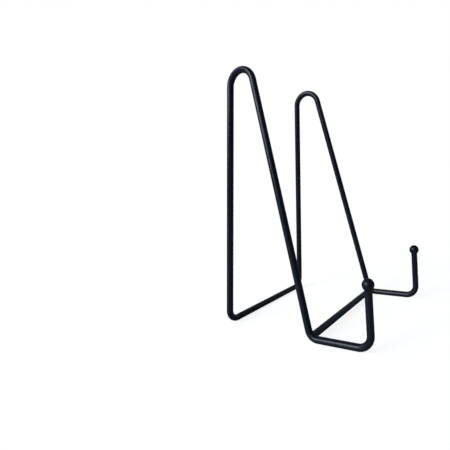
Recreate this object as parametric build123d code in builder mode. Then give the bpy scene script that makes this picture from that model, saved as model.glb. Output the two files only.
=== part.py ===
from build123d import *
from math import asin, cos, degrees, radians, sin, sqrt, tan
import os

# Plate display stand: a rigid frame of round steel wire, welded and powder coated.
# Two mirror-image side wires stand on the table and meet in the middle of the rear rail.
# Each carries one front lip, one arm, one front leg, the hairpin at the top, one rear leg
# and half of the rear rail. A short cross bar ties the two front corners together.
# A plate stands on the arms, leans on the front legs and is kept in by the two lips.
#
# Frame: +Z up, the lips are at the front (-Y), X runs across the stand. The origin lies on
# the table in the middle of the footprint. "left" is the -X side.

os.makedirs("parts", exist_ok=True)

# Driving dimensions, in millimetres and degrees
wire_diameter = 5.0  # round wire of the whole frame
overall_depth = 127.0  # front of the balls to the back of the rear rail
front_width = 108.0  # between the centrelines of the two arms
rear_width = 101.0  # between the centrelines of the two rear legs on the table
arm_length = 44.0  # lip centreline to the corner of the front leg
ball_diameter = 8.0  # tip of each lip
ball_height = 43.5  # centre of the ball above the table
front_leg_lean = 12.3  # back from upright, seen from the side
rear_leg_lean = 4.6  # forward from upright, seen from the side
inward_lean = 2.4  # of each front leg towards the other, seen from the front

# Centreline radii of the bends
lip_bend = 9.0
front_corner_bend = 7.0
hairpin_bend = 11.4
rear_corner_bend = 8.5

# Weld metal
bar_bite = 0.9  # how far the cross bar is sunk into the flank of a side wire
bar_bead_width = 3.6
bar_bead_height = 0.9
ball_bead_drop = 0.7  # down the lip from the seat of the ball
ball_bead_rise = 11.0  # degrees round the ball from its seat

# Positions that follow from the driving dimensions
wire_radius = wire_diameter / 2
ball_radius = ball_diameter / 2
table_line = wire_radius  # height of a centreline that lies on the table
arm_x = -front_width / 2
rear_x = -rear_width / 2
lip_y = -overall_depth / 2 + ball_radius
corner_y = lip_y + arm_length
rear_y = overall_depth / 2 - wire_radius
seat_depth = sqrt(ball_radius**2 - wire_radius**2)  # ball centre down to the cut wire end
seat_height = ball_height - seat_depth

# The two legs of a side frame would meet in a sharp apex, which the hairpin rounds off
front_slope = tan(radians(front_leg_lean))
rear_slope = tan(radians(rear_leg_lean))
inward_slope = tan(radians(inward_lean))
apex_rise = (rear_y - corner_y) / (front_slope + rear_slope)
apex_x = arm_x + apex_rise * inward_slope
apex_y = corner_y + apex_rise * front_slope
apex_height = table_line + apex_rise


def bend_middle(corner, turn, radius):
    """Middle of the bend at a corner between a flat arm and a leg, in the side view."""
    half_angle = radians(turn / 2)
    reach = radius / sin(half_angle) - radius
    return corner[0] - reach * cos(half_angle), corner[1] + reach * sin(half_angle)


def front_view(x, y, z):
    """Upright plane seen from the front, with its own origin at a point."""
    return Plane(origin=(x, y, z), x_dir=(1, 0, 0), z_dir=(0, -1, 0))


# The cross bar is welded to the middle of the bend at the foot of each front leg
bar_y, bar_height = bend_middle((corner_y, table_line), 90 + front_leg_lean, front_corner_bend)
wire_flank = arm_x + wire_radius
bar_end = wire_flank - bar_bite

# Left side wire: lip, arm, front leg, hairpin, rear leg and half of the rear rail
lip_end = (arm_x, lip_y, seat_height)
with BuildPart() as left_side_wire:
    with BuildLine() as side_route:
        FilletPolyline(
            lip_end,
            (arm_x, lip_y, table_line),
            (arm_x, corner_y, table_line),
            (apex_x, apex_y, apex_height),
            (rear_x, rear_y, table_line),
            (0, rear_y, table_line),
            radius=[lip_bend, front_corner_bend, hairpin_bend, rear_corner_bend],
        )
    with BuildSketch(Plane(origin=lip_end, z_dir=(0, 0, -1))):
        Circle(wire_radius)
    sweep()
left_side_wire.part.label = "left_side_wire"
export_step(left_side_wire.part, "parts/left_side_wire.step")

with BuildPart() as right_side_wire:
    mirror(left_side_wire.part, about=Plane.YZ)
right_side_wire.part.label = "right_side_wire"
export_step(right_side_wire.part, "parts/right_side_wire.step")

# Front cross bar: its ends are saddled over the inner flanks of the side wires
with BuildPart() as front_cross_bar:
    with BuildSketch(Plane(origin=(bar_end, bar_y, bar_height), z_dir=(1, 0, 0))):
        Circle(wire_radius)
    extrude(amount=-2 * bar_end)
    add(left_side_wire.part, mode=Mode.SUBTRACT)
    add(right_side_wire.part, mode=Mode.SUBTRACT)
front_cross_bar.part.label = "front_cross_bar"
export_step(front_cross_bar.part, "parts/front_cross_bar.step")

# Bead of weld metal round the left end of the cross bar, rounded like a bulging collar
bead_middle = wire_flank + bar_bead_width / 2 - 2 * bar_bite
with BuildPart() as left_cross_bar_weld:
    with BuildSketch(front_view(bead_middle, bar_y, bar_height)):
        with BuildLine():
            ThreePointArc(
                (-bar_bead_width / 2, wire_radius),
                (0, wire_radius + bar_bead_height),
                (bar_bead_width / 2, wire_radius),
            )
            Line((bar_bead_width / 2, wire_radius), (-bar_bead_width / 2, wire_radius))
        make_face()
    revolve(axis=Axis((bead_middle, bar_y, bar_height), (1, 0, 0)))
    add(left_side_wire.part, mode=Mode.SUBTRACT)
    add(front_cross_bar.part, mode=Mode.SUBTRACT)
left_cross_bar_weld.part.label = "left_cross_bar_weld"
export_step(left_cross_bar_weld.part, "parts/left_cross_bar_weld.step")

with BuildPart() as right_cross_bar_weld:
    mirror(left_cross_bar_weld.part, about=Plane.YZ)
right_cross_bar_weld.part.label = "right_cross_bar_weld"
export_step(right_cross_bar_weld.part, "parts/right_cross_bar_weld.step")

# Ball tip: a steel ball with a small flat seat, which sits on the cut end of the lip
with BuildPart() as left_ball_tip:
    with Locations((arm_x, lip_y, ball_height)):
        Sphere(ball_radius)
    split(bisect_by=Plane.XY.offset(seat_height), keep=Keep.TOP)
left_ball_tip.part.label = "left_ball_tip"
export_step(left_ball_tip.part, "parts/left_ball_tip.step")

with BuildPart() as right_ball_tip:
    mirror(left_ball_tip.part, about=Plane.YZ)
right_ball_tip.part.label = "right_ball_tip"
export_step(right_ball_tip.part, "parts/right_ball_tip.step")


def ball_outline(angle):
    """Point on the ball's outline, as (radius, height), at an angle up from its lowest point."""
    return ball_radius * sin(radians(angle)), -ball_radius * cos(radians(angle))


# Ring of weld metal in the groove between the ball and the wire below it
seat_angle = degrees(asin(wire_radius / ball_radius))
groove = ball_outline(seat_angle)
on_ball = ball_outline(seat_angle + ball_bead_rise)
on_wire = (wire_radius, groove[1] - ball_bead_drop)
with BuildPart() as left_ball_weld:
    with BuildSketch(front_view(arm_x, lip_y, ball_height)):
        with BuildLine():
            ThreePointArc(groove, ball_outline(seat_angle + ball_bead_rise / 2), on_ball)
            Polyline(on_ball, on_wire, groove)
        make_face()
    revolve(axis=Axis((arm_x, lip_y, ball_height), (0, 0, 1)))
left_ball_weld.part.label = "left_ball_weld"
export_step(left_ball_weld.part, "parts/left_ball_weld.step")

with BuildPart() as right_ball_weld:
    mirror(left_ball_weld.part, about=Plane.YZ)
right_ball_weld.part.label = "right_ball_weld"
export_step(right_ball_weld.part, "parts/right_ball_weld.step")
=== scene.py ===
import math
import random

import bmesh
import bpy
import numpy as np
from mathutils import Matrix, Vector


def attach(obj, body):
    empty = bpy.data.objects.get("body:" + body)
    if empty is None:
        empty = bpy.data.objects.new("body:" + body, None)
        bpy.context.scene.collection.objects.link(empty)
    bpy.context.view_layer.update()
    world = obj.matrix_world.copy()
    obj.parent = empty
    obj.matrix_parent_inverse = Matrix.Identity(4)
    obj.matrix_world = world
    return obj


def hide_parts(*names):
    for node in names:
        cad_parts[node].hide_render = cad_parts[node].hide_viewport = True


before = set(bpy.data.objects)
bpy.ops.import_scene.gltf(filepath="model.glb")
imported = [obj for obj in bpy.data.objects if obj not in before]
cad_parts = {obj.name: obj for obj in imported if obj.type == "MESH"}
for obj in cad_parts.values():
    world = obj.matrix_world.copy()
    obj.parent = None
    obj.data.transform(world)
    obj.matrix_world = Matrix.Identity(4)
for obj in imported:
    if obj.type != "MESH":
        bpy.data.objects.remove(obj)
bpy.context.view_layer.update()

MM = 0.001

# Camera: a phone held close to the stand, a little above the table and a little tilted
CAMERA_AZIMUTH = -60.99  # degrees; 0 looks along +Y, negative is from the left side
CAMERA_ELEVATION = 3.75
CAMERA_ROLL = -3.49
CAMERA_DISTANCE = 0.2854
CAMERA_LENS = 28.05  # on a 36 mm sensor
CAMERA_SHIFT = (-0.2222, -0.0444)
AIM_HEIGHT = 0.1
AIM_OFFSET = (-0.0118, 0.0391)  # the aim point lies this far off the optical axis, as tangents

# Sizes of the CAD frame, which the detailed pieces follow
WIRE_RADIUS = 2.5 * MM
BALL_RADIUS = 4.0 * MM
FRONT_WIDTH = 108.0 * MM  # between the two arms
REAR_WIDTH = 101.0 * MM  # between the two rear legs on the table
LIP_Y = -59.5 * MM
CORNER_Y = -15.5 * MM
REAR_Y = 61.0 * MM
BALL_HEIGHT = 43.5 * MM
FRONT_LEG_LEAN = math.radians(12.3)
REAR_LEG_LEAN = math.radians(4.6)
INWARD_LEAN = math.radians(2.4)
BENDS = (9.0 * MM, 7.0 * MM, 11.4 * MM, 8.5 * MM)  # lip, front corner, hairpin, rear corner
BAR_SINK = 0.9 * MM  # how far the cross bar goes into the flank of a side wire

SEAT_HEIGHT = BALL_HEIGHT - math.sqrt(BALL_RADIUS**2 - WIRE_RADIUS**2)
APEX_RISE = (REAR_Y - CORNER_Y) / (math.tan(FRONT_LEG_LEAN) + math.tan(REAR_LEG_LEAN))

# Shape of the details. Shares are of the wire's or the ball's radius, or of the bead's leg.
WIRE_AROUND = 56  # points round a wire
BEND_FLATTENING = 0.015  # share lost on the outside of a bend
SEAM_DEPTH = 0.05 * MM  # how far the coat sinks into the joint in the rear rail
SEAM_REACH = 0.3 * MM
SEAM_STOPS = (0.9, 0.6, 0.45, 0.3, 0.2, 0.1, 0)  # rings before the joint, in millimetres from it
BALL_AROUND = 80
BALL_LEVELS = 48
BALL_UNEVENNESS = 0.006
BALL_POLE = 0.02  # radians at the top of the ball that a small flat face closes
BEAD_AROUND = 224
BEAD_ACROSS = 16
BEAD_TUCK = 0.03 * MM  # how far a bead's toes lie under the skin of the solids that it joins
BEAD_CROWN = 0.2
BEAD_SINK = 0.2
BEAD_SWAY = (0.10, 0.05)  # how much a bead's width varies, in 2 and in 5 waves round it
RIPPLE_STRENGTHS = (0.6, 1.2)  # weakest and strongest, as shares of a bead's ripple height
RIPPLE_LAG = 0.45  # how far the middle of a ripple trails its ends, in ripples
RIPPLE_ROUNDNESS = 0.8  # as a power; smaller is blunter
RIPPLE_FADE = 1.6  # as a power; larger keeps the ripples further from the toes
SEARCH_REACH = 4 * WIRE_RADIUS  # how far along a bar the corner between two solids is looked for
HALVINGS = 34  # of that search
SLOPE_PROBE = 0.02 * MM  # how far to either side of a point the slope of a solid is measured
JOINT_REACH = 16.0 * MM  # only this much of a wire's route counts round its joint with the bar

# Table: to the camera part of its light is a glow, which keeps it pale right to the horizon
FLOOR_REACH = 4.0
FLOOR_GLOW = 1.9
FLOOR_GLOW_SHARE = 0.45

# Noise in the coat: features per metre, and the values of the noise between which each sets in
TINT_PATCHES = 55
TINT_EDGE = (0.35, 0.65)
STREAKS = 900
STREAK_EDGE = (0.48, 0.66)
DUST_SPECKS = 3400
DUST_EDGE = (0.70, 0.80)
CURE_PATCHES = 170
CURE_EDGE = (0.3, 0.7)
SMEARS = 38
SMEAR_EDGE = (0.52, 0.68)
PEEL = 950
GRIT = 4200

# How much of the coat a speck of dust covers, and what each adds to the coat's roughness
DUST_COVER = 0.3
CURE_ROUGHNESS = (-0.025, 0.03)
SMEAR_ROUGHNESS = 0.05
DUST_ROUGHNESS = 0.3
RUB_ROUGHNESS = -0.06

# Linear colours of the coat
COAT_DEEP = (0.006, 0.010, 0.021, 1)
COAT_PALE = (0.011, 0.016, 0.030, 1)
COAT_RUBBED = (0.045, 0.048, 0.055, 1)
DUST = (0.16, 0.155, 0.15, 1)

# Where the coat is rubbed or dusty, each as the values between which that sets in or fades
TABLE_RUB_TOP = (0.15 * MM, 0.7 * MM)  # height
ARM_TOP = (5.6 * MM, 6.2 * MM)  # height
PLATE_FRONT = (-50 * MM, -44 * MM)  # y
PLATE_BACK = (-31 * MM, -25 * MM)  # y
PLATE_SLOPE = (0.72, 0.97)  # z of the surface's normal
DUST_SLOPE = (0.2, 0.9)


def look_axes(azimuth, elevation, roll):
    """Right, up and backward directions of a camera, as unit vectors."""
    turn = math.radians(azimuth)
    tilt = math.radians(elevation)
    back = Vector((math.sin(turn) * math.cos(tilt), -math.cos(turn) * math.cos(tilt), math.sin(tilt)))
    right = Vector((0, 0, 1)).cross(back).normalized()
    up = back.cross(right)
    spin = Matrix.Rotation(math.radians(roll), 3, back)
    return spin @ right, spin @ up, back


def make_camera():
    data = bpy.data.cameras.new("photo_camera")
    data.lens = CAMERA_LENS
    data.sensor_width = 36.0
    data.shift_x, data.shift_y = CAMERA_SHIFT
    data.clip_start = 0.01
    camera = bpy.data.objects.new("photo_camera", data)
    bpy.context.scene.collection.objects.link(camera)
    right, up, back = look_axes(CAMERA_AZIMUTH, CAMERA_ELEVATION, CAMERA_ROLL)
    ray = -back + right * AIM_OFFSET[0] + up * AIM_OFFSET[1]
    camera.location = Vector((0, 0, AIM_HEIGHT)) - ray * CAMERA_DISTANCE
    camera.rotation_mode = "QUATERNION"
    camera.rotation_quaternion = Matrix((right, up, back)).transposed().to_quaternion()
    bpy.context.scene.camera = camera


def make_world():
    """White where the camera looks past the floor, dim for what the object reflects."""
    world = bpy.data.worlds.new("studio")
    bpy.context.scene.world = world
    world.use_nodes = True
    nodes, links = world.node_tree.nodes, world.node_tree.links
    nodes.clear()
    out = nodes.new("ShaderNodeOutputWorld")
    mix = nodes.new("ShaderNodeMixShader")
    path = nodes.new("ShaderNodeLightPath")
    dim = nodes.new("ShaderNodeBackground")
    white = nodes.new("ShaderNodeBackground")
    dim.inputs["Color"].default_value = (0.85, 0.93, 1.0, 1)
    dim.inputs["Strength"].default_value = 0.05
    white.inputs["Color"].default_value = (1, 1, 1, 1)
    white.inputs["Strength"].default_value = 1.0
    links.new(path.outputs["Is Camera Ray"], mix.inputs["Fac"])
    links.new(dim.outputs[0], mix.inputs[1])
    links.new(white.outputs[0], mix.inputs[2])
    links.new(mix.outputs[0], out.inputs["Surface"])


def soft_sun(name, azimuth, elevation, spread, strength, tint):
    """A large soft light far away, seen from the object as a disc of the given spread."""
    data = bpy.data.lights.new(name, "SUN")
    data.energy = strength
    data.angle = math.radians(spread)
    data.color = tint
    lamp = bpy.data.objects.new(name, data)
    bpy.context.scene.collection.objects.link(lamp)
    right, up, back = look_axes(azimuth, elevation, 0)
    lamp.rotation_mode = "QUATERNION"
    lamp.rotation_quaternion = Matrix((right, up, back)).transposed().to_quaternion()


def make_floor():
    """Pale table. It is darker in reflections, as the table under the real stand seems to be."""
    mesh = bpy.data.meshes.new("floor")
    corners = [(x * FLOOR_REACH, y * FLOOR_REACH, 0) for x, y in ((-1, -1), (1, -1), (1, 1), (-1, 1))]
    mesh.from_pydata(corners, [], [(0, 1, 2, 3)])
    floor = bpy.data.objects.new("floor", mesh)
    bpy.context.scene.collection.objects.link(floor)
    material = bpy.data.materials.new("pale_floor")
    material.use_nodes = True
    nodes, links = material.node_tree.nodes, material.node_tree.links
    nodes.clear()
    out = nodes.new("ShaderNodeOutputMaterial")
    mix = nodes.new("ShaderNodeMixShader")
    path = nodes.new("ShaderNodeLightPath")
    dark = nodes.new("ShaderNodeBsdfPrincipled")
    pale = nodes.new("ShaderNodeBsdfDiffuse")
    glow = nodes.new("ShaderNodeEmission")
    seen = nodes.new("ShaderNodeMixShader")
    dark.inputs["Base Color"].default_value = (0.36, 0.39, 0.43, 1)
    dark.inputs["Roughness"].default_value = 0.5
    pale.inputs["Color"].default_value = (0.96, 0.95, 0.93, 1)
    glow.inputs["Color"].default_value = (1, 1, 1, 1)
    glow.inputs["Strength"].default_value = FLOOR_GLOW
    seen.inputs["Fac"].default_value = FLOOR_GLOW_SHARE
    links.new(pale.outputs[0], seen.inputs[1])
    links.new(glow.outputs[0], seen.inputs[2])
    links.new(path.outputs["Is Camera Ray"], mix.inputs["Fac"])
    links.new(dark.outputs[0], mix.inputs[1])
    links.new(seen.outputs[0], mix.inputs[2])
    links.new(mix.outputs[0], out.inputs["Surface"])
    floor.data.materials.append(material)


def side_points(side):
    """Corners of a side wire's route, from the cut end of the lip to the middle of the rear rail."""
    arm_x = side * FRONT_WIDTH / 2
    apex = Vector((
        arm_x - side * APEX_RISE * math.tan(INWARD_LEAN),
        CORNER_Y + APEX_RISE * math.tan(FRONT_LEG_LEAN),
        WIRE_RADIUS + APEX_RISE,
    ))
    return [
        Vector((arm_x, LIP_Y, SEAT_HEIGHT)),
        Vector((arm_x, LIP_Y, WIRE_RADIUS)),
        Vector((arm_x, CORNER_Y, WIRE_RADIUS)),
        apex,
        Vector((side * REAR_WIDTH / 2, REAR_Y, WIRE_RADIUS)),
        Vector((0, REAR_Y, WIRE_RADIUS)),
    ]


def rounded_route(points, bends, arc_step=math.radians(4), straight_step=1.5 * MM):
    """Points along a polyline with rounded corners, and how far into a bend each one is."""
    route = [(points[0], 0.0)]
    for before, corner, after, radius in zip(points, points[1:], points[2:], bends):
        back = (before - corner).normalized()
        ahead = (after - corner).normalized()
        opening = back.angle(ahead)
        cut = radius / math.tan(opening / 2)
        centre = corner + (back + ahead).normalized() * radius / math.sin(opening / 2)
        first = corner + back * cut - centre
        last = corner + ahead * cut - centre
        turn = math.pi - opening
        add_straight(route, centre + first, straight_step)
        steps = math.ceil(turn / arc_step)
        for i in range(1, steps + 1):
            part = i / steps
            arm = first * math.sin((1 - part) * turn) + last * math.sin(part * turn)
            route.append((centre + arm / math.sin(turn), math.sin(part * math.pi)))
    add_straight(route, points[-1], straight_step)
    return route


def add_straight(route, end, step):
    start = route[-1][0]
    steps = max(1, math.ceil((end - start).length / step))
    for i in range(1, steps + 1):
        route.append((start.lerp(end, i / steps), 0.0))


def finish_mesh(name, mesh_data, material_slot, node, cap_faces=()):
    """Makes the piece from a bmesh: smooth, but for the flat caps, riding on the body."""
    for face in mesh_data.faces:
        face.smooth = True
    for face in cap_faces:
        face.smooth = False
        for edge in face.edges:
            edge.smooth = False
    bmesh.ops.recalc_face_normals(mesh_data, faces=mesh_data.faces)
    mesh = bpy.data.meshes.new(name)
    mesh_data.to_mesh(mesh)
    mesh_data.free()
    piece = bpy.data.objects.new(name, mesh)
    bpy.context.scene.collection.objects.link(piece)
    piece.data.materials.append(MATERIALS[material_slot])
    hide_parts(node)
    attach(piece, "root")


def skin_rings(rings, closed, creases=()):
    """Bridges rings of points into a skin: a closed ring of rings, or a tube with two caps.

    creases are the numbers of the rings along which the skin has a sharp edge.
    """
    mesh = bmesh.new()
    verts = [[mesh.verts.new(point) for point in ring] for ring in rings]
    count = len(rings[0])
    for ring, following in zip(verts, verts[1:] + ([verts[0]] if closed else [])):
        for j in range(count):
            k = (j + 1) % count
            mesh.faces.new((ring[j], ring[k], following[k], following[j]))
    for number in creases:
        ring = verts[number]
        for first, second in zip(ring, ring[1:] + ring[:1]):
            mesh.edges.get((first, second)).smooth = False
    caps = []
    if not closed:
        caps = [mesh.faces.new(list(reversed(verts[0]))), mesh.faces.new(verts[-1])]
    return mesh, caps


def wire_rings(route):
    """Rings round a route. A bent wire is a little flatter on the outside of the bend."""
    positions = [point for point, _ in route]
    heading = (positions[1] - positions[0]).normalized()
    side = heading.orthogonal().normalized()
    rings = []
    for i, (point, bend) in enumerate(route):
        before = positions[max(i - 1, 0)]
        after = positions[min(i + 1, len(positions) - 1)]
        new_heading = (after - before).normalized()
        side = heading.rotation_difference(new_heading) @ side
        heading = new_heading
        side = (side - heading * side.dot(heading)).normalized()
        up = heading.cross(side)
        inward = (before + after) / 2 - point
        inward = inward.normalized() if bend > 0 and inward.length > 0 else Vector()
        ring = []
        for j in range(WIRE_AROUND):
            turn = 2 * math.pi * j / WIRE_AROUND
            out = side * math.cos(turn) + up * math.sin(turn)
            flat = BEND_FLATTENING * bend * max(0.0, -out.dot(inward)) ** 2
            ring.append(point + out * WIRE_RADIUS * (1 - flat))
        rings.append(ring)
    return rings


def make_side_wire(name, node, side):
    """Side wire. The coat sinks a little into its joint with the other one, in the rear rail."""
    route = rounded_route(side_points(side), BENDS)
    end = route.pop()[0]
    for gap in SEAM_STOPS:
        route.append((end + Vector((side * gap * MM, 0, 0)), 0.0))
    rings = wire_rings(route)
    for ring, (middle, _) in zip(rings, route):
        sunk = SEAM_DEPTH * math.exp(-((middle - end).length / SEAM_REACH) ** 2)
        ring[:] = [point.lerp(middle, sunk / WIRE_RADIUS) for point in ring]
    mesh, caps = skin_rings(rings, closed=False)
    finish_mesh(name, mesh, "wire_coat", node, caps)


def bar_centre():
    """Middle of the front corner's bend in the side view, where the cross bar's axis lies."""
    radius = BENDS[1]
    half_angle = (math.pi / 2 + FRONT_LEG_LEAN) / 2
    reach = radius / math.sin(half_angle) - radius
    return CORNER_Y - reach * math.cos(half_angle), WIRE_RADIUS + reach * math.sin(half_angle)


def make_cross_bar():
    y, z = bar_centre()
    end = FRONT_WIDTH / 2 - WIRE_RADIUS + BAR_SINK
    route = rounded_route([Vector((-end, y, z)), Vector((end, y, z))], ())
    mesh, caps = skin_rings(wire_rings(route), closed=False)
    finish_mesh("cross_bar", mesh, "wire_coat", "front_cross_bar", caps)


def make_ball(name, node, side):
    """Ball on the end of a lip, a little out of round as its coat makes it, and flat at its seat."""
    seat_angle = math.asin(WIRE_RADIUS / BALL_RADIUS)
    centre = Vector((side * FRONT_WIDTH / 2, LIP_Y, BALL_HEIGHT))
    rings = []
    for i in range(BALL_LEVELS + 1):
        angle = seat_angle + (math.pi - seat_angle - BALL_POLE) * i / BALL_LEVELS
        radius = BALL_RADIUS * (1 - BALL_UNEVENNESS * (1 + math.cos(3 * angle)) / 2)
        height = -radius * math.cos(angle)
        ring = []
        for j in range(BALL_AROUND):
            turn = 2 * math.pi * j / BALL_AROUND
            reach = radius * math.sin(angle) * (1 - BALL_UNEVENNESS * math.sin(turn + side) ** 2)
            ring.append(centre + Vector((reach * math.cos(turn), reach * math.sin(turn), height)))
        rings.append(ring)
    mesh, caps = skin_rings(rings, closed=False)
    finish_mesh(name, mesh, "ball_coat", node, caps[:1])


def distance_to_route(points, route):
    """Distance of each point from a route's centreline, for an (n, 3) array."""
    path = np.array([tuple(point) for point, _ in route])
    start, step = path[:-1], np.diff(path, axis=0)
    offset = points[:, None, :] - start[None]
    along = np.clip((offset * step).sum(2) / (step**2).sum(1), 0, 1)
    return np.linalg.norm(offset - along[..., None] * step, axis=2).min(1)


def crossing(start, direction, reach, signed):
    """How far along each ray a signed distance passes from inside to outside."""
    low = np.zeros(len(start))
    high = np.full(len(start), reach)
    for _ in range(HALVINGS):
        middle = (low + high) / 2
        inside = signed(start + direction * middle[:, None]) < 0
        low = np.where(inside, middle, low)
        high = np.where(inside, high, middle)
    return low


def weld_bead(name, node, centre, axis, bar_start, joint, leg, ripples, ripple_height, seed):
    """Rippled ring of weld metal where a round bar, along axis from centre, meets a joint.

    joint gives the signed distance of points from the other solid, and leg is how far the
    bead reaches over each of the two. Its toes dip just under their skins.
    """
    draw = random.Random(seed)
    strength = [draw.uniform(*RIPPLE_STRENGTHS) for _ in range(ripples)]
    start_turn, wide_turn, narrow_turn = (draw.uniform(0, 2 * math.pi) for _ in range(3))
    centre, axis = np.array(centre), np.array(axis)
    tilted = (0.0, 0.6, 0.8) if abs(axis[0]) > 0.5 else (1.0, 0.0, 0.0)  # any line off the axis
    side = np.cross(axis, tilted)
    side /= np.linalg.norm(side)
    up = np.cross(axis, side)
    turns = 2 * math.pi * np.arange(BEAD_AROUND) / BEAD_AROUND
    out = np.cos(turns)[:, None] * side + np.sin(turns)[:, None] * up

    # The corner between the two solids, and the toes of the bead on either side of it
    rim = centre + out * WIRE_RADIUS
    along = np.maximum(crossing(rim, axis[None], SEARCH_REACH, joint), bar_start)
    corner = rim + axis * along[:, None]
    uneven = 1 + BEAD_SWAY[0] * np.sin(2 * turns + wide_turn)
    uneven += BEAD_SWAY[1] * np.sin(5 * turns + narrow_turn)
    reach = (leg * uneven)[:, None]
    near_toe = corner + axis * reach - out * BEAD_TUCK
    spot = corner + out * reach
    nudge = SLOPE_PROBE * np.eye(3)
    slope = np.stack([joint(spot + step) - joint(spot - step) for step in nudge], axis=1)
    slope /= np.linalg.norm(slope, axis=1, keepdims=True)
    far_toe = spot - slope * (joint(spot) + BEAD_TUCK)[:, None]
    lift = out + slope
    lift /= np.linalg.norm(lift, axis=1, keepdims=True)
    bulge = corner + lift * BEAD_CROWN * leg

    # Skin from toe to toe. Ripples lie across it, each bowed, and fade out before the toes.
    rings = []
    for k in range(BEAD_ACROSS + 1):
        part = k / BEAD_ACROSS
        hump = 4 * part * (1 - part)
        phase = ripples * ((turns - start_turn) / (2 * math.pi) % 1) - RIPPLE_LAG * hump
        crest = np.array([strength[int(value) % ripples] for value in phase])
        wave = crest * np.abs(np.sin(math.pi * phase)) ** RIPPLE_ROUNDNESS
        curve = (1 - part) ** 2 * near_toe + 2 * part * (1 - part) * bulge + part**2 * far_toe
        rings.append(curve + lift * (ripple_height * hump**RIPPLE_FADE * wave)[:, None])
    rings.append(corner - lift * BEAD_SINK * leg)
    rings = [[Vector(point) for point in ring] for ring in rings]
    mesh, _ = skin_rings(rings, closed=True, creases=(0, BEAD_ACROSS))
    finish_mesh(name, mesh, "weld_coat", node)


def make_bar_weld(name, node, side, seed):
    route = rounded_route(side_points(side), BENDS, math.radians(2))
    y, z = bar_centre()
    centre = Vector((side * FRONT_WIDTH / 2, y, z))
    near = [stop for stop in route if (stop[0] - centre).length < JOINT_REACH]
    weld_bead(
        name, node, centre, (-side, 0, 0), WIRE_RADIUS - BAR_SINK,
        lambda p: distance_to_route(p, near) - WIRE_RADIUS,
        leg=1.35 * MM, ripples=17, ripple_height=0.09 * MM, seed=seed,
    )


def make_ball_weld(name, node, side, seed):
    centre = (side * FRONT_WIDTH / 2, LIP_Y, BALL_HEIGHT)
    weld_bead(
        name, node, centre, (0, 0, -1), 0,
        lambda p: np.linalg.norm(p - np.array(centre), axis=1) - BALL_RADIUS,
        leg=0.6 * MM, ripples=15, ripple_height=0.03 * MM, seed=seed,
    )


def link_noise(nodes, links, vector, scale, *, detail, roughness=0.5, distortion=0.0):
    noise = nodes.new("ShaderNodeTexNoise")
    noise.inputs["Scale"].default_value = scale
    noise.inputs["Detail"].default_value = detail
    noise.inputs["Roughness"].default_value = roughness
    noise.inputs["Distortion"].default_value = distortion
    links.new(vector, noise.inputs["Vector"])
    return noise.outputs["Fac"]


def link_range(nodes, links, value, limits, first, last, smooth=True):
    """What goes from first to last while the value goes from one of its limits to the other."""
    ranging = nodes.new("ShaderNodeMapRange")
    ranging.interpolation_type = "SMOOTHSTEP" if smooth else "LINEAR"
    ranging.inputs["From Min"].default_value = limits[0]
    ranging.inputs["From Max"].default_value = limits[1]
    ranging.inputs["To Min"].default_value = first
    ranging.inputs["To Max"].default_value = last
    links.new(value, ranging.inputs["Value"])
    return ranging.outputs["Result"]


def link_math(nodes, links, operation, first, second):
    step = nodes.new("ShaderNodeMath")
    step.operation = operation
    for socket, value in zip(step.inputs, (first, second)):
        if isinstance(value, (int, float)):
            socket.default_value = value
        else:
            links.new(value, socket)
    return step.outputs[0]


def link_mix(nodes, links, factor, first, second):
    mix = nodes.new("ShaderNodeMix")
    mix.data_type = "RGBA"
    links.new(factor, mix.inputs["Factor"])
    for socket, value in ((mix.inputs["A"], first), (mix.inputs["B"], second)):
        if isinstance(value, tuple):
            socket.default_value = value
        else:
            links.new(value, socket)
    return mix.outputs["Result"]


def link_bump(nodes, links, height, distance, normal=None):
    bump = nodes.new("ShaderNodeBump")
    bump.inputs["Distance"].default_value = distance
    bump.inputs["Strength"].default_value = 1.0
    links.new(height, bump.inputs["Height"])
    if normal is not None:
        links.new(normal, bump.inputs["Normal"])
    return bump.outputs["Normal"]


def rub_mask(nodes, links, place, split_place, facing_up):
    """Where the coat is rubbed: next to the table, and where a plate's edge stands on the arms."""
    height, along = split_place.outputs["Z"], split_place.outputs["Y"]
    streaks = link_noise(nodes, links, place, STREAKS, detail=3, roughness=0.65, distortion=0.6)
    streaks = link_range(nodes, links, streaks, STREAK_EDGE, 0, 1)
    table_rub = link_range(nodes, links, height, TABLE_RUB_TOP, 1, 0)
    plate_rub = link_range(nodes, links, facing_up, PLATE_SLOPE, 0, 1)
    for limit in (
        link_range(nodes, links, height, ARM_TOP, 1, 0),
        link_range(nodes, links, along, PLATE_FRONT, 0, 1),
        link_range(nodes, links, along, PLATE_BACK, 1, 0),
    ):
        plate_rub = link_math(nodes, links, "MULTIPLY", plate_rub, limit)
    rub = link_math(nodes, links, "MAXIMUM", table_rub, plate_rub)
    return link_math(nodes, links, "MULTIPLY", rub, streaks)


def dust_mask(nodes, links, place, facing_up):
    """Fine specks of dust, on upper faces only."""
    dust = link_noise(nodes, links, place, DUST_SPECKS, detail=1)
    dust = link_range(nodes, links, dust, DUST_EDGE, 0, DUST_COVER, smooth=False)
    upper = link_range(nodes, links, facing_up, DUST_SLOPE, 0, 1)
    return link_math(nodes, links, "MULTIPLY", dust, upper)


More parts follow.
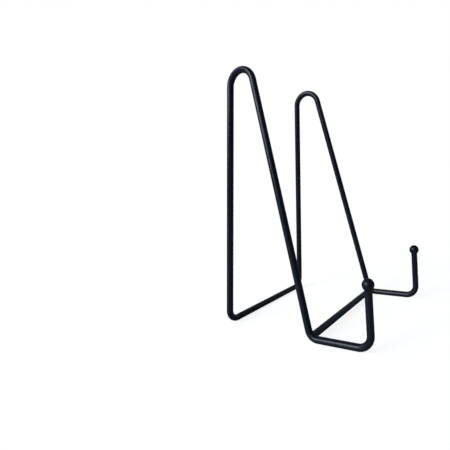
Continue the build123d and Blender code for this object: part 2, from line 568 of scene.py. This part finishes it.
def coat_roughness(nodes, links, place, roughness, rub, dust):
    """Roughness of a coat that cured unevenly, smeared by hands, dusty, and polished by rubs."""
    least, most = (roughness + change for change in CURE_ROUGHNESS)
    cure = link_noise(nodes, links, place, CURE_PATCHES, detail=3, roughness=0.55)
    rough = link_range(nodes, links, cure, CURE_EDGE, least, most, smooth=False)
    smears = link_noise(nodes, links, place, SMEARS, detail=4, roughness=0.62, distortion=1.4)
    smears = link_range(nodes, links, smears, SMEAR_EDGE, 0, SMEAR_ROUGHNESS)
    dulled = link_math(nodes, links, "MULTIPLY", dust, DUST_ROUGHNESS)
    polished = link_math(nodes, links, "MULTIPLY", rub, RUB_ROUGHNESS)
    for change in (smears, dulled, polished):
        rough = link_math(nodes, links, "ADD", rough, change)
    return rough


def coat_relief(nodes, links, place, peel_height, grit_height):
    """Orange peel about a millimetre across, with finer grit in it."""
    peel = link_noise(nodes, links, place, PEEL, detail=2, roughness=0.4)
    grit = link_noise(nodes, links, place, GRIT, detail=2)
    relief = link_bump(nodes, links, peel, peel_height)
    return link_bump(nodes, links, grit, grit_height, relief)


def powder_coat(name, roughness, peel_height, grit_height):
    """Satin powder coat: navy-black in slow patches, grey where rubbed, with settled dust."""
    material = bpy.data.materials.new(name)
    material.use_nodes = True
    nodes, links = material.node_tree.nodes, material.node_tree.links
    shader = nodes["Principled BSDF"]
    shader.inputs["IOR"].default_value = 1.5
    place = nodes.new("ShaderNodeTexCoord").outputs["Object"]
    normal = nodes.new("ShaderNodeNewGeometry").outputs["Normal"]
    split_place = nodes.new("ShaderNodeSeparateXYZ")
    split_normal = nodes.new("ShaderNodeSeparateXYZ")
    links.new(place, split_place.inputs[0])
    links.new(normal, split_normal.inputs[0])
    facing_up = split_normal.outputs["Z"]

    rub = rub_mask(nodes, links, place, split_place, facing_up)
    dust = dust_mask(nodes, links, place, facing_up)
    patches = link_noise(nodes, links, place, TINT_PATCHES, detail=4, roughness=0.6)
    patches = link_range(nodes, links, patches, TINT_EDGE, 0, 1)
    colour = link_mix(nodes, links, patches, COAT_DEEP, COAT_PALE)
    colour = link_mix(nodes, links, rub, colour, COAT_RUBBED)
    colour = link_mix(nodes, links, dust, colour, DUST)
    rough = coat_roughness(nodes, links, place, roughness, rub, dust)
    relief = coat_relief(nodes, links, place, peel_height, grit_height)
    links.new(colour, shader.inputs["Base Color"])
    links.new(rough, shader.inputs["Roughness"])
    links.new(relief, shader.inputs["Normal"])
    return material


make_camera()
make_world()
# Each light's azimuth and elevation, its spread in degrees, its strength and its tint
soft_sun("window_low", -113, 23, 26, 0.87, (0.85, 0.90, 1.0))
soft_sun("window_high", -122, 41, 24, 0.33, (0.85, 0.90, 1.0))
soft_sun("back_wall", -158, 28, 40, 0.33, (0.88, 0.93, 1.0))
soft_sun("left_wall", -85, 27, 34, 0.24, (0.88, 0.93, 1.0))
soft_sun("right_wall", 92, 10, 90, 0.31, (0.60, 0.80, 1.0))
make_floor()
bpy.context.scene.view_settings.view_transform = "Standard"

# Each coat's roughness, and the heights of its orange peel and its grit
MATERIALS = {
    "wire_coat": powder_coat("wire_coat", 0.235, 0.065 * MM, 0.003 * MM),
    "ball_coat": powder_coat("ball_coat", 0.25, 0.045 * MM, 0.0025 * MM),
    "weld_coat": powder_coat("weld_coat", 0.28, 0.065 * MM, 0.004 * MM),
}
make_side_wire("left_wire", "left_side_wire", -1)
make_side_wire("right_wire", "right_side_wire", 1)
make_cross_bar()
make_ball("left_ball", "left_ball_tip", -1)
make_ball("right_ball", "right_ball_tip", 1)
make_bar_weld("left_bar_bead", "left_cross_bar_weld", -1, seed=11)
make_bar_weld("right_bar_bead", "right_cross_bar_weld", 1, seed=12)
make_ball_weld("left_ball_bead", "left_ball_weld", -1, seed=13)
make_ball_weld("right_ball_bead", "right_ball_weld", 1, seed=14)
